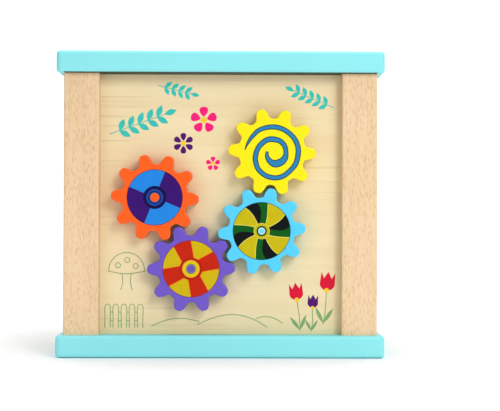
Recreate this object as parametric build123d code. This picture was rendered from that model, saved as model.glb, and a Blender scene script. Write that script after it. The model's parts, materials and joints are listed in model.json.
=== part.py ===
"""Wooden activity box with a train of four toothed wheels on its front panel.

Two square boards and four corner posts make the frame. Four thin panels slide in
grooves of the posts and boards. Each wheel of the train is glued on a headed peg that
comes through the front panel from behind and turns in its hole.

Units are millimetres and degrees. +Z is up and the wheels face -Y. The origin is the
centre of the underside of the bottom board.
"""
import math
import os

from build123d import *

os.makedirs("parts", exist_ok=True)

# ---------------------------------------------------------------- driving dimensions
# Frame
box_width = 208.0
box_depth = 208.0
box_height = 194.0
board_thickness = 14.0
board_overhang = 4.5
board_corner_radius = 3.6
board_edge_radius = 2.4
post_size = 22.5
post_edge_radius = 1.2

# Panels in their grooves
panel_thickness = 5.0
panel_recess = 8.0
post_groove_depth = 6.0
board_groove_depth = 3.0
groove_gap = 0.15

# Toothed wheels
wheel_teeth = 10
wheel_module = 5.0
pressure_angle = 30.0
tooth_addendum = 2.7
root_clearance = 1.2
tooth_backlash = 1.4
tooth_tip_radius = 2.6
tooth_root_radius = 2.8
wheel_thickness = 9.0

# The train: place and turn of its first wheel, then the direction to each next one
first_wheel_x = -41.5
first_wheel_z = 101.1
first_wheel_turn = 33.5
link_directions = (-62.9, 28.3, 82.7)
centre_slack = 0.6
flank_gap = 0.2
wheel_names = ("orange", "purple", "blue", "yellow")

# Headed axle pegs and the spacers between wheels and panel
peg_diameter = 10.0
peg_socket_depth = 6.0
peg_head_diameter = 16.0
peg_head_length = 4.5
bearing_gap = 0.08
glue_gap = 0.05
end_play = 0.3
spacer_thickness = 1.3
spacer_diameter = 18.0

# Countersunk screws through the bottom board into the posts
base_screw_diameter = 4.0
base_screw_length = 38.0
base_screw_head_diameter = 8.0
base_screw_head_depth = 2.4
base_screw_sink = 0.4
screw_hole_gap = 0.3

# Dowels between the top board and the posts
post_dowel_diameter = 8.0
post_dowel_in_board = 9.0
post_dowel_in_post = 19.0
dowel_end_gap = 0.5

# ---------------------------------------------------------------- derived places
post_span_x = box_width - 2 * board_overhang
post_span_y = box_depth - 2 * board_overhang
post_height = box_height - 2 * board_thickness
post_x = (post_span_x - post_size) / 2
post_y = (post_span_y - post_size) / 2

groove_width = panel_thickness + 2 * groove_gap
panel_inset = panel_recess + panel_thickness / 2
panel_mid_x = post_span_x / 2 - panel_inset
panel_mid_y = post_span_y / 2 - panel_inset
groove_run_x = post_span_x - 2 * post_size + 2 * post_groove_depth
groove_run_y = post_span_y - 2 * post_size + 2 * post_groove_depth
panel_height = post_height + 2 * (board_groove_depth - groove_gap)
panel_mid_z = board_thickness + post_height / 2

pitch_radius = wheel_module * wheel_teeth / 2
tip_radius = pitch_radius + tooth_addendum
root_radius = pitch_radius - tooth_addendum - root_clearance
base_radius = pitch_radius * math.cos(math.radians(pressure_angle))
tooth_thickness = (math.pi * wheel_module - tooth_backlash) / 2

panel_front_y = -post_span_y / 2 + panel_recess
panel_back_y = panel_front_y + panel_thickness
spacer_front_y = panel_front_y - spacer_thickness
wheel_back_y = spacer_front_y - end_play
socket_end_y = wheel_back_y - peg_socket_depth
peg_front_y = socket_end_y + glue_gap
head_front_y = panel_back_y + end_play
head_back_y = head_front_y + peg_head_length

peg_radius = peg_diameter / 2
bearing_radius = peg_radius + bearing_gap


# ---------------------------------------------------------------- helpers
def write(part, node):
    """Write one sub-part to its own file."""
    part.label = node
    export_step(part, os.path.join("parts", node + ".step"))


def box_between(low, high):
    """Block from its lowest to its highest corner."""
    size = [high[i] - low[i] for i in range(3)]
    middle = [(high[i] + low[i]) / 2 for i in range(3)]
    return Pos(*middle) * Box(*size)


def rod_y(x, z, start_y, end_y, radius):
    """Round rod along Y between two places."""
    length = end_y - start_y
    return Pos(x, (start_y + end_y) / 2, z) * Rot(90, 0, 0) * Cylinder(radius, length)


def rod_z(x, y, start_z, end_z, radius):
    """Round rod along Z between two places."""
    length = end_z - start_z
    return Pos(x, y, (start_z + end_z) / 2) * Cylinder(radius, length)


def corner_places():
    """Centre of each corner post in plan, with its name."""
    for y_name, y_side in (("front", -1), ("back", 1)):
        for x_name, x_side in (("left", -1), ("right", 1)):
            yield y_name + "_" + x_name, x_side, y_side


# ---------------------------------------------------------------- frame and panels
def groove_cutters():
    """Blocks that cut the panel grooves into the posts and the boards."""
    low_z = board_thickness - board_groove_depth
    high_z = box_height - board_thickness + board_groove_depth
    half_groove = groove_width / 2
    cutters = []
    for side in (-1, 1):
        y = side * panel_mid_y
        low = (-groove_run_x / 2, y - half_groove, low_z)
        high = (groove_run_x / 2, y + half_groove, high_z)
        cutters.append(box_between(low, high))
        x = side * panel_mid_x
        low = (x - half_groove, -groove_run_y / 2, low_z)
        high = (x + half_groove, groove_run_y / 2, high_z)
        cutters.append(box_between(low, high))
    return cutters


def board(bottom_z):
    """Square board with rounded corners and rounded edges."""
    block = Pos(0, 0, bottom_z + board_thickness / 2) * Box(box_width, box_depth, board_thickness)
    block = fillet(block.edges().filter_by(Axis.Z), board_corner_radius)
    flat_ends = block.faces().filter_by(Axis.Z)
    rim_radius = min(board_edge_radius, 0.45 * board_thickness)
    rims = [edge for face in flat_ends for edge in face.edges()]
    return fillet(rims, rim_radius)


def bottom_board():
    """Bottom board with grooves above and countersunk screw holes below."""
    part = board(0)
    for cutter in groove_cutters():
        part -= cutter
    for _, x_side, y_side in corner_places():
        part -= base_screw_space(x_side * post_x, y_side * post_y)
    return part


def top_board():
    """Top board with grooves and blind dowel holes below."""
    part = board(box_height - board_thickness)
    for cutter in groove_cutters():
        part -= cutter
    for _, x_side, y_side in corner_places():
        part -= post_dowel_hole(x_side * post_x, y_side * post_y)
    return part


def post(x_side, y_side):
    """Corner post with two panel grooves, a dowel hole above and a screw hole below."""
    x = x_side * post_x
    y = y_side * post_y
    part = Pos(x, y, panel_mid_z) * Box(post_size, post_size, post_height)
    part = fillet(part.edges().filter_by(Axis.Z), post_edge_radius)
    for cutter in groove_cutters():
        part -= cutter
    part -= post_dowel_hole(x, y)
    tip_z = base_screw_sink + base_screw_length + glue_gap
    part -= rod_z(x, y, board_thickness, tip_z, base_screw_diameter / 2 + glue_gap)
    return part


def panel_along_x(side):
    """Thin panel across the front or the back."""
    length = groove_run_x - 2 * groove_gap
    return Pos(0, side * panel_mid_y, panel_mid_z) * Box(length, panel_thickness, panel_height)


def panel_along_y(side):
    """Thin panel across the left or the right."""
    length = groove_run_y - 2 * groove_gap
    return Pos(side * panel_mid_x, 0, panel_mid_z) * Box(panel_thickness, length, panel_height)


def gear_panel():
    """Front panel with a bearing hole for each axle peg."""
    part = panel_along_x(-1)
    for x, z, _ in train():
        part -= rod_y(x, z, panel_front_y, panel_back_y, bearing_radius)
    return part


def post_dowel_hole(x, y):
    """Room for a glued dowel, half in the post and half in the top board."""
    joint_z = box_height - board_thickness
    low_z = joint_z - post_dowel_in_post - dowel_end_gap
    high_z = joint_z + post_dowel_in_board + dowel_end_gap
    return rod_z(x, y, low_z, high_z, post_dowel_diameter / 2 + glue_gap)


def post_dowel(x, y):
    """Wooden dowel between a post and the top board."""
    joint_z = box_height - board_thickness
    low_z = joint_z - post_dowel_in_post
    high_z = joint_z + post_dowel_in_board
    return rod_z(x, y, low_z, high_z, post_dowel_diameter / 2)


# ---------------------------------------------------------------- screws
def base_screw_space(x, y):
    """Countersink and clearance hole for a screw through the bottom board."""
    head_radius = base_screw_head_diameter / 2 + glue_gap
    shank_radius = base_screw_diameter / 2 + glue_gap
    flare = (head_radius - shank_radius) / base_screw_head_depth
    head_top_z = base_screw_sink + base_screw_head_depth
    cone = Cone(head_radius + flare * base_screw_sink, shank_radius, head_top_z)
    hole = rod_z(x, y, 0, board_thickness, base_screw_diameter / 2 + screw_hole_gap)
    return Pos(x, y, head_top_z / 2) * cone + hole


def base_screw(x, y):
    """Countersunk wood screw driven from below."""
    head_radius = base_screw_head_diameter / 2
    shank_radius = base_screw_diameter / 2
    outline = Polyline(
        (0, base_screw_sink),
        (head_radius, base_screw_sink),
        (shank_radius, base_screw_sink + base_screw_head_depth),
        (shank_radius, base_screw_sink + base_screw_length),
        (0, base_screw_sink + base_screw_length),
        close=True,
    )
    return Pos(x, y, 0) * revolve(Plane.XZ * make_face(outline), Axis.Z)


# ---------------------------------------------------------------- toothed wheels
def involute_roll(radius):
    """Angle by which the involute has unrolled from the base circle at a radius."""
    turn = math.acos(min(1.0, base_radius / radius))
    return math.tan(turn) - turn


def flank_point(radius, side):
    """Point of a tooth flank at a radius, for a tooth whose middle lies on +X."""
    half_base = tooth_thickness / 2 / pitch_radius + involute_roll(pitch_radius)
    angle = side * (half_base - involute_roll(radius))
    return (radius * math.cos(angle), radius * math.sin(angle))


def tooth_face():
    """One tooth: each flank is the arc through the foot, pitch and tip of an involute."""
    foot_left = flank_point(root_radius, 1)
    foot_right = flank_point(root_radius, -1)
    tip_left = flank_point(tip_radius, 1)
    tip_right = flank_point(tip_radius, -1)
    left = ThreePointArc(foot_left, flank_point(pitch_radius, 1), tip_left)
    right = ThreePointArc(foot_right, flank_point(pitch_radius, -1), tip_right)
    tip = ThreePointArc(tip_left, (tip_radius, 0), tip_right)
    foot = Polyline(foot_right, (0, 0), foot_left)
    return make_face([left, tip, right, foot])


def wheel_outline():
    """Root circle with its teeth, rounded at every tip and every foot."""
    outline = Circle(root_radius)
    for place in PolarLocations(0, wheel_teeth):
        outline += place * tooth_face()
    tooth_angle = 2 * math.pi / wheel_teeth
    tip_land = 2 * abs(flank_point(tip_radius, 1)[1])
    foot_half_angle = math.atan2(flank_point(root_radius, 1)[1], flank_point(root_radius, 1)[0])
    root_land = root_radius * (tooth_angle - 2 * foot_half_angle)
    corner_rings = outline.vertices().group_by(lambda v: round(v.center().length, 3))
    outline = fillet(corner_rings[-1], min(tooth_tip_radius, 0.8 * tip_land))
    foot_corners = [v for v in outline.vertices() if v.center().length < root_radius + 0.01]
    return fillet(foot_corners, min(tooth_root_radius, 0.6 * root_land))


def train():
    """Centre of each wheel on the panel, and the turn of its first tooth."""
    side_play = tooth_backlash / 2 + centre_slack * math.tan(math.radians(pressure_angle))
    play_turn = math.degrees((side_play - flank_gap) / pitch_radius)
    centre_distance = 2 * pitch_radius + centre_slack
    half_tooth = 180 / wheel_teeth
    x = first_wheel_x
    z = first_wheel_z
    turn = first_wheel_turn
    places = [(x, z, turn)]
    flank = -1
    for direction in link_directions:
        x += centre_distance * math.cos(math.radians(direction))
        z += centre_distance * math.sin(math.radians(direction))
        turn = 2 * direction + 180 + half_tooth - turn + flank * play_turn
        places.append((x, z, turn))
        flank = -flank
    return places


def wheel(x, z, turn, outline):
    """Toothed wheel with a blind socket for its peg in the back."""
    disc = extrude(outline, wheel_thickness)
    standing = Pos(x, wheel_back_y, z) * Rot(90, 0, 0) * Rot(0, 0, turn) * disc
    return standing - rod_y(x, z, socket_end_y, wheel_back_y, peg_radius + glue_gap)


def axle_peg(x, z):
    """Turned peg: its shank is glued in the wheel and its head lies behind the panel."""
    shank = rod_y(x, z, peg_front_y, head_front_y, peg_radius)
    return shank + rod_y(x, z, head_front_y, head_back_y, peg_head_diameter / 2)


def spacer(x, z):
    """Thin washer that keeps the wheel off the panel."""
    ring = rod_y(x, z, spacer_front_y, panel_front_y, spacer_diameter / 2)
    return ring - rod_y(x, z, spacer_front_y, panel_front_y, bearing_radius)


# ---------------------------------------------------------------- build
def build_frame():
    """Boards, posts, panels and what fastens them."""
    write(top_board(), "top_board")
    write(bottom_board(), "bottom_board")
    screws = []
    dowels = []
    for name, x_side, y_side in corner_places():
        write(post(x_side, y_side), "post_" + name)
        screws.append(base_screw(x_side * post_x, y_side * post_y))
        dowels.append(post_dowel(x_side * post_x, y_side * post_y))
    write(Compound(children=screws), "base_screws")
    write(Compound(children=dowels), "post_dowels")
    write(gear_panel(), "gear_panel")
    write(panel_along_x(1), "back_panel")
    write(panel_along_y(-1), "left_panel")
    write(panel_along_y(1), "right_panel")


def build_train():
    """Wheels, axle pegs and spacers."""
    outline = wheel_outline()
    for name, (x, z, turn) in zip(wheel_names, train()):
        write(wheel(x, z, turn, outline), "gear_" + name)
        write(axle_peg(x, z), "axle_peg_" + name)
        write(spacer(x, z), "spacer_" + name)
        print(f"gear_{name}: centre x {x:.4f}, z {z:.4f}, first tooth at {turn % 360:.3f} degrees")


build_frame()
build_train()
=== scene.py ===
"""Finish of a wooden activity box with four toothed wheels: paint, grain, prints and light.

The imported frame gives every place. Lengths are in millimetres, but for the studio's, which
are in metres as the finished meshes are.
"""
import json
import logging
import math
from collections.abc import Callable
from dataclasses import dataclass, field, replace
from enum import Enum

import bmesh
import bpy
from mathutils import Matrix, Vector


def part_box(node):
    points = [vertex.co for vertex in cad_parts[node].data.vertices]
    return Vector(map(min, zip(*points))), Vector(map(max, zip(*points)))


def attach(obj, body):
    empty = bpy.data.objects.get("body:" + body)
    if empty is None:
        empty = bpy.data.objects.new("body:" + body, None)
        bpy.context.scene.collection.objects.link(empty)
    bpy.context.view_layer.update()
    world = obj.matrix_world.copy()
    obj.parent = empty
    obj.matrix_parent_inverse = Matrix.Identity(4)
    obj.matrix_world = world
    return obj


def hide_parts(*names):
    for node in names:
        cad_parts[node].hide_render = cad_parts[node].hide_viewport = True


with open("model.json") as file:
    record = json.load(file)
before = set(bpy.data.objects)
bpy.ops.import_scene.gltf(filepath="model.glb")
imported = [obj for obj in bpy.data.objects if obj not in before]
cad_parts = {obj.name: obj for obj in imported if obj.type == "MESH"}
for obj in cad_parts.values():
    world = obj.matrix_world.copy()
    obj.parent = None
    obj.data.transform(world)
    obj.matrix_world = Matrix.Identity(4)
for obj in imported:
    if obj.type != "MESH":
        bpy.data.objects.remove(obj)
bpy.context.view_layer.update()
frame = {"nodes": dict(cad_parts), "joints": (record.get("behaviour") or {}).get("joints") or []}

LOG = logging.getLogger("gear_box")
MM = 0.001
ORIGIN = Vector((0, 0, 0))
UNSCALED = Vector((1, 1, 1))
CASE = "case"
FILM_DEPTH = 0.05
COPY_WELD = 0.002
FLAT_ANGLE = 0.3

Colour = tuple[float, float, float, float]
Point = tuple[float, float]
Place = tuple[float, float, float]
Stroke = tuple[float, float, float]
BLACK: Colour = (0.0, 0.0, 0.0, 1.0)


class Grain(Enum):
    """Direction in which the fibres of a piece of wood run, as the number of the axis."""

    ALONG_X = 0
    ALONG_Y = 1
    ALONG_Z = 2

    def drawn_out(self, stretch: float) -> Vector:
        """Return the scale that draws a pattern out along the fibres."""
        return Vector([stretch if axis == self.value else 1.0 for axis in range(3)])


@dataclass(frozen=True)
class Noise:
    """Noise pattern, with its scale across the fibres and how that shrinks along them."""

    scale: float
    stretch: float = 1.0
    detail: float = 2.0
    roughness: float = 0.5


def tint(red: int, green: int, blue: int) -> Colour:
    """Turn an sRGB colour into a shader's colour.

    Args:
        red: its red in steps of 0 to 255.
        green: its green.
        blue: its blue.

    Returns:
        The shader's colour.
    """
    shares = [value / 255 for value in (red, green, blue)]
    channels = [s / 12.92 if s <= 0.04045 else ((s + 0.055) / 1.055) ** 2.4 for s in shares]
    return (channels[0], channels[1], channels[2], 1.0)


def shade(colour: Colour, share: float) -> Colour:
    """Return a colour with its three channels multiplied by a share."""
    return (share * colour[0], share * colour[1], share * colour[2], colour[3])


# ------------------------------------------------------------------ node trees
class Graph:
    """A node tree that is filled through one method."""

    def __init__(self, tree: bpy.types.NodeTree, owner: bpy.types.Material | None = None) -> None:
        """Take the tree to fill, and the material that owns it."""
        self.tree = tree
        self.owner = owner

    def add(self, kind: str, settings: dict | None = None, sockets: dict | None = None,
            output: int | str = 0) -> "Value":
        """Add a node, set it, then feed its sockets.

        Args:
            kind: type name of the node.
            settings: attributes that are set first; "stops" fills a colour ramp.
            sockets: values, links or lists of links by socket name or number.
            output: the output that is returned.

        Returns:
            The chosen output of the node.
        """
        node = self.tree.nodes.new(kind)
        for name, setting in (settings or {}).items():
            if name == "stops":
                fill_ramp(node.color_ramp, setting)
            else:
                setattr(node, name, setting)
        for key, given in (sockets or {}).items():
            if isinstance(given, Value):
                self.tree.links.new(given.socket, node.inputs[key])
            elif isinstance(given, list):
                for one in given:
                    self.tree.links.new(one.socket, node.inputs[key])
            else:
                node.inputs[key].default_value = given
        return Value(self, node.outputs[output] if node.outputs else None)

    def maths(self, operation: str, *operands: "Value | float") -> "Value":
        """Return the result of one Math node."""
        return self.add("ShaderNodeMath", {"operation": operation}, dict(enumerate(operands)))

    def mix(self, share: "Value | float", first: "Value | Colour",
            second: "Value | Colour") -> "Value":
        """Return the first colour where share is 0 and the second where it is 1."""
        sockets = {0: share, 6: first, 7: second}
        return self.add("ShaderNodeMix", {"data_type": "RGBA"}, sockets, output=2)

    def step(self, value: "Value", limit: float, soft: float, over: float) -> "Value":
        """Return a soft step between 0 and 1.

        Args:
            value: what is compared.
            limit: where the step is.
            soft: half of the step's width.
            over: the result over the limit, 0 or 1.

        Returns:
            The step.
        """
        sockets = {"Value": value, "From Min": limit - soft, "From Max": limit + soft,
                   "To Min": 1.0 - over, "To Max": over}
        return self.add("ShaderNodeMapRange", {"interpolation_type": "SMOOTHSTEP"}, sockets)

    def below(self, value: "Value", limit: float, soft: float) -> "Value":
        """Return 1 where value is under limit and 0 where it is over, with a soft edge."""
        return self.step(value, limit, soft, 0.0)

    def above(self, value: "Value", limit: float, soft: float) -> "Value":
        """Return 1 where value is over limit and 0 where it is under, with a soft edge."""
        return self.step(value, limit, soft, 1.0)

    def place(self, centre: Vector = ORIGIN, scale: Vector = UNSCALED) -> "Value":
        """Return the Object coordinates.

        Args:
            centre: the point that they are counted from.
            scale: what each of them is multiplied by.

        Returns:
            The coordinates.
        """
        here = self.add("ShaderNodeTexCoord", output="Object")
        moved = self.add("ShaderNodeVectorMath", {"operation": "SUBTRACT"}, {0: here, 1: centre})
        return self.add("ShaderNodeVectorMath", {"operation": "MULTIPLY"}, {0: moved, 1: scale})

    def around(self, centre: Vector) -> tuple["Value", "Value"]:
        """Return the distance in millimetres and the angle in degrees around a line along Y.

        Args:
            centre: a point of the line.

        Returns:
            The distance, and the angle from +X, which grows towards +Z.
        """
        here = self.place(centre, UNSCALED / MM)
        x = self.add("ShaderNodeSeparateXYZ", {}, {0: here}, output="X")
        z = self.add("ShaderNodeSeparateXYZ", {}, {0: here}, output="Z")
        return (x * x + z * z) ** 0.5, self.maths("ARCTAN2", z, x) * math.degrees(1)

    def pattern(self, noise: Noise, grain: Grain = Grain.ALONG_X,
                centre: Vector = ORIGIN) -> "Value":
        """Return a noise of 0 to 1.

        Args:
            noise: its fineness.
            grain: the direction in which it is drawn out.
            centre: the point that it is counted from.

        Returns:
            The noise.
        """
        sockets = {"Vector": self.place(centre, grain.drawn_out(noise.stretch)),
                   "Scale": noise.scale, "Detail": noise.detail, "Roughness": noise.roughness}
        return self.add("ShaderNodeTexNoise", {}, sockets)

    def bump(self, height: "Value", strength: float, depth: float) -> "Value":
        """Return the normal that a height of 0 to 1 gives over a depth in millimetres."""
        sockets = {"Strength": strength, "Distance": depth * MM, "Height": height}
        return self.add("ShaderNodeBump", {}, sockets)


def operator_of(operation: str,
                swapped: bool = False) -> Callable[["Value", "Value | float"], "Value"]:
    """Return a method of Value that adds one Math node.

    Args:
        operation: the node's operation.
        swapped: whether the other operand comes first.

    Returns:
        The method.
    """
    def operate(self: "Value", other: "Value | float") -> "Value":
        """Return the result for this value and another."""
        return self.graph.maths(operation, *((other, self) if swapped else (self, other)))

    return operate


class Value:
    """Output of a node that can stand in a sum.

    The remainder wraps into 0 to the divisor, also for values under 0.
    """

    __add__ = __radd__ = operator_of("ADD")
    __mul__ = __rmul__ = operator_of("MULTIPLY")
    __sub__ = operator_of("SUBTRACT")
    __rsub__ = operator_of("SUBTRACT", swapped=True)
    __truediv__ = operator_of("DIVIDE")
    __rtruediv__ = operator_of("DIVIDE", swapped=True)
    __pow__ = operator_of("POWER")
    __mod__ = operator_of("FLOORED_MODULO")

    def __init__(self, graph: Graph, socket: bpy.types.NodeSocket | None) -> None:
        """Take the tree and the output."""
        self.graph = graph
        self.socket = socket

    def __abs__(self) -> "Value":
        """Drop the sign."""
        return self.graph.maths("ABSOLUTE", self)


def fill_ramp(ramp: bpy.types.ColorRamp, stops: list[tuple[float, Colour]]) -> None:
    """Give a colour ramp its stops.

    Args:
        ramp: the ramp.
        stops: the place of 0 to 1 and the colour of each stop.
    """
    while len(ramp.elements) < len(stops):
        ramp.elements.new(1.0)
    for element, (place, colour) in zip(ramp.elements, stops):
        element.position = place
        element.color = colour


def surface(graph: Graph, colour: Value, roughness: Value | float, normal: Value | None,
            constants: dict[str, float] | None = None) -> bpy.types.Material:
    """Close a material's tree with its shader.

    Args:
        graph: the tree.
        colour: its base colour.
        roughness: its roughness.
        normal: its normal, or None for the mesh's own.
        constants: other sockets of the shader that are the same all over.

    Returns:
        The material.
    """
    sockets: dict = {"Base Color": colour, "Roughness": roughness}
    if normal is not None:
        sockets["Normal"] = normal
    sockets.update(constants or {})
    shader = graph.add("ShaderNodeBsdfPrincipled", {}, sockets)
    graph.add("ShaderNodeOutputMaterial", {}, {"Surface": shader})
    return graph.owner


def new_material(name: str) -> Graph:
    """Make a material without nodes.

    Args:
        name: what its name ends with.

    Returns:
        Its tree.
    """
    material = bpy.data.materials.new("finish_" + name)
    material.use_nodes = True
    material.node_tree.nodes.clear()
    return Graph(material.node_tree, material)


# ------------------------------------------------------------------ finishes
@dataclass(frozen=True)
class Paint:
    """Sprayed paint on wood: even colour, a slight orange peel and faint grain below it; where a box
    is given, a near-black painted shade inside it.
    """

    name: str
    colour: Colour
    roughness: float = 0.34
    roughness_spread: float = 0.12
    coat: float = 0.4
    coat_roughness: float = 0.12
    specular: float = 0.2
    darkest: float = 0.93
    cloud: Noise = Noise(22)
    fibre: Noise = Noise(420, stretch=0.08)
    fibre_share: float = 0.2
    fibre_height: float = 0.072
    peel: Noise = Noise(900, detail=1)
    peel_height: float = 0.12
    bump_strength: float = 0.35
    bump_depth: float = 0.2
    # Near-black painted shade and the box it fills, for the shade under the top board.
    painted_shade_colour: Colour = (0.02, 0.04, 0.03, 1.0)
    painted_shade_edge: float = 0.2
    painted_shade_low: Vector | None = None
    painted_shade_high: Vector | None = None

    def painted_shade_mask(self, graph: Graph) -> Value:
        """Return the box in which dark shade is painted into the colour.

        Args:
            graph: the material's tree.

        Returns:
            1 in the box of painted shade, and 0 around it.
        """
        place = graph.add("ShaderNodeTexCoord", output="Object")
        inside: Value | float = 1.0
        for axis, low, high in zip("XYZ", self.painted_shade_low, self.painted_shade_high):
            part = graph.add("ShaderNodeSeparateXYZ", {}, {0: place}, output=axis)
            inside = inside * graph.below(part, high, self.painted_shade_edge * MM)
            inside = inside * graph.above(part, low, self.painted_shade_edge * MM)
        return inside

    def material(self) -> bpy.types.Material:
        """Build the material.

        Returns:
            The material.
        """
        graph = new_material(self.name)
        cloud = graph.pattern(self.cloud)
        fibre = graph.pattern(self.fibre)
        share = cloud * (1 - self.fibre_share) + fibre * self.fibre_share
        colour = graph.mix(share, shade(self.colour, self.darkest), self.colour)
        # Painted shade: the near-black colour is mixed in over the box, in place of the shade that
        # falls there.
        if self.painted_shade_low is not None:
            colour = graph.mix(self.painted_shade_mask(graph), colour, self.painted_shade_colour)
        roughness = self.roughness - self.roughness_spread / 2 + cloud * self.roughness_spread
        height = graph.pattern(self.peel) * self.peel_height + fibre * self.fibre_height
        normal = graph.bump(height, self.bump_strength, self.bump_depth)
        return surface(graph, colour, roughness, normal,
                       {"Coat Weight": self.coat, "Coat Roughness": self.coat_roughness,
                        "Specular IOR Level": self.specular})


@dataclass(frozen=True)
class Wood:
    """Varnished wood: fibres and slow growth bands, with short flecks or rare long streaks."""

    name: str
    light: Colour
    dark: Colour
    fleck: Colour
    grain: Grain
    tones: tuple[float, float] = (0.3, 0.72)
    band: Noise = Noise(60, stretch=0.06, detail=3)
    band_share: float = 0.5
    fibre: Noise = Noise(900, stretch=0.035, detail=3, roughness=0.6)
    fibre_share: float = 0.35
    fibre_height: float = 0.6
    patch: Noise = Noise(14)
    patch_share: float = 0.25
    fleck_share: float = 0.0
    fleck_cells: Noise = Noise(1250, stretch=0.17)
    fleck_size: float = 0.33
    fleck_soft: float = 0.13
    fleck_depth: float = 0.5
    fleck_chance: Noise = Noise(300, stretch=0.3)
    fleck_chance_limit: float = 0.44
    fleck_chance_soft: float = 0.08
    ray: Noise = Noise(760, stretch=0.2, detail=1)
    ray_limit: float = 0.58
    ray_soft: float = 0.06
    ray_share: float = 0.4
    streak_share: float = 0.0
    streak: Noise = Noise(330, stretch=0.012)
    streak_limit: float = 0.64
    streak_soft: float = 0.03
    streak_patch_limit: float = 0.5
    streak_patch_soft: float = 0.06
    roughness: float = 0.48
    roughness_spread: float = 0.1
    coat: float = 0.05
    coat_roughness: float = 0.3
    specular: float = 0.25
    bump_strength: float = 0.3
    bump_depth: float = 0.2

    def flecked(self, graph: Graph, colour: Value, height: Value) -> tuple[Value, Value]:
        """Add pale rays, and short dark flecks that are a little hollow.

        Args:
            graph: the material's tree.
            colour: the colour without them.
            height: the height without them.

        Returns:
            The colour and the height with them.
        """
        cells = {"Vector": graph.place(scale=self.grain.drawn_out(self.fleck_cells.stretch)),
                 "Scale": self.fleck_cells.scale, "Randomness": 1.0}
        near = graph.add("ShaderNodeTexVoronoi", {"feature": "F1"}, cells)
        spot = graph.below(near, self.fleck_size, self.fleck_soft)
        chance = graph.pattern(self.fleck_chance, self.grain)
        spot = spot * graph.above(chance, self.fleck_chance_limit, self.fleck_chance_soft)
        ray = graph.above(graph.pattern(self.ray, self.grain), self.ray_limit, self.ray_soft)
        colour = graph.mix(ray * self.ray_share, colour, self.light)
        colour = graph.mix(spot * self.fleck_share, colour, self.fleck)
        return colour, height - spot * self.fleck_depth

    def streaked(self, graph: Graph, colour: Value, patch: Value) -> Value:
        """Add long dark streaks in some patches.

        Args:
            graph: the material's tree.
            colour: the colour without them.
            patch: slow noise, under whose streak_patch_limit they are.

        Returns:
            The colour with them.
        """
        drawn_out = graph.pattern(self.streak, self.grain)
        streak = graph.above(drawn_out, self.streak_limit, self.streak_soft)
        line = streak * graph.below(patch, self.streak_patch_limit, self.streak_patch_soft)
        return graph.mix(line * self.streak_share, colour, self.fleck)

    def material(self) -> bpy.types.Material:
        """Build the material.

        Returns:
            The material.
        """
        graph = new_material(self.name)
        band = graph.pattern(self.band, self.grain)
        fibre = graph.pattern(self.fibre, self.grain)
        patch = graph.pattern(self.patch)
        share = band * self.band_share + fibre * self.fibre_share + patch * self.patch_share
        stops = list(zip(self.tones, (self.dark, self.light)))
        colour = graph.add("ShaderNodeValToRGB", {"stops": stops}, {"Fac": share})
        height = fibre * self.fibre_height
        if self.fleck_share:
            colour, height = self.flecked(graph, colour, height)
        if self.streak_share:
            colour = self.streaked(graph, colour, patch)
        normal = graph.bump(height, self.bump_strength, self.bump_depth)
        return surface(graph, colour, self.roughness + fibre * self.roughness_spread, normal,
                       {"Coat Weight": self.coat, "Coat Roughness": self.coat_roughness,
                        "Specular IOR Level": self.specular})


@dataclass(frozen=True)
class Steel:
    """Zinc plated steel with fine turning marks."""

    name: str
    colour: Colour
    darkest: float = 0.7
    stain: Noise = Noise(300)
    marks: Noise = Noise(2600)
    roughness: float = 0.24
    roughness_spread: float = 0.2
    bump_strength: float = 0.2
    bump_depth: float = 0.1

    def material(self) -> bpy.types.Material:
        """Build the material.

        Returns:
            The material.
        """
        graph = new_material(self.name)
        marks = graph.pattern(self.marks)
        colour = graph.mix(graph.pattern(self.stain), shade(self.colour, self.darkest), self.colour)
        normal = graph.bump(marks, self.bump_strength, self.bump_depth)
        return surface(graph, colour, self.roughness + marks * self.roughness_spread, normal,
                       {"Metallic": 1.0})


@dataclass(frozen=True)
class Ink:
    """Printed ink: one colour that is a little uneven, with the sheen of the varnish on it."""

    name: str
    colour: Colour
    darkest: float = 0.86
    uneven: Noise = Noise(160, detail=3)
    roughness: float = 0.4
    roughness_spread: float = 0.12
    specular: float = 0.14

    def material(self) -> bpy.types.Material:
        """Build the material.

        Returns:
            The material.
        """
        graph = new_material(self.name)
        uneven = graph.pattern(self.uneven)
        colour = graph.mix(uneven, shade(self.colour, self.darkest), self.colour)
        return surface(graph, colour, self.roughness + uneven * self.roughness_spread, None,
                       {"Specular IOR Level": self.specular})


AQUA = Paint("aqua_paint", tint(139, 226, 229), roughness=0.5, coat=0.04)
WHEEL_PAINTS = {
    "orange": Paint("orange_paint", tint(255, 92, 12)),
    "purple": Paint("purple_paint", tint(106, 80, 192)),
    "blue": Paint("blue_paint", tint(82, 204, 248)),
    "yellow": Paint("yellow_paint", tint(255, 230, 0)),
}
BEECH = Wood("beech", tint(234, 205, 166), tint(218, 182, 138), tint(182, 132, 90),
             Grain.ALONG_Z, fleck_share=0.44)
PLY_X = Wood("ply_along_x", tint(238, 221, 180), tint(227, 205, 158), tint(186, 152, 104),
             Grain.ALONG_X, streak_share=0.26, band=Noise(90, stretch=0.06, detail=3),
             band_share=0.4)
PLY_Y = replace(PLY_X, name="ply_along_y", grain=Grain.ALONG_Y)
DOWEL_Y = Wood("dowel_along_y", tint(228, 200, 158), tint(206, 172, 126), tint(160, 120, 80),
               Grain.ALONG_Y)
DOWEL_Z = replace(DOWEL_Y, name="dowel_along_z", grain=Grain.ALONG_Z)
STEEL = Steel("screw_steel", (0.62, 0.62, 0.6, 1.0))


# ------------------------------------------------------------------ mesh helpers
def new_object(name: str, data: bpy.types.ID) -> bpy.types.Object:
    """Add an object to the scene.

    Args:
        name: its name.
        data: the mesh, light or camera that it shows.

    Returns:
        The object.
    """
    made = bpy.data.objects.new(name, data)
    bpy.context.scene.collection.objects.link(made)
    return made


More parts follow.
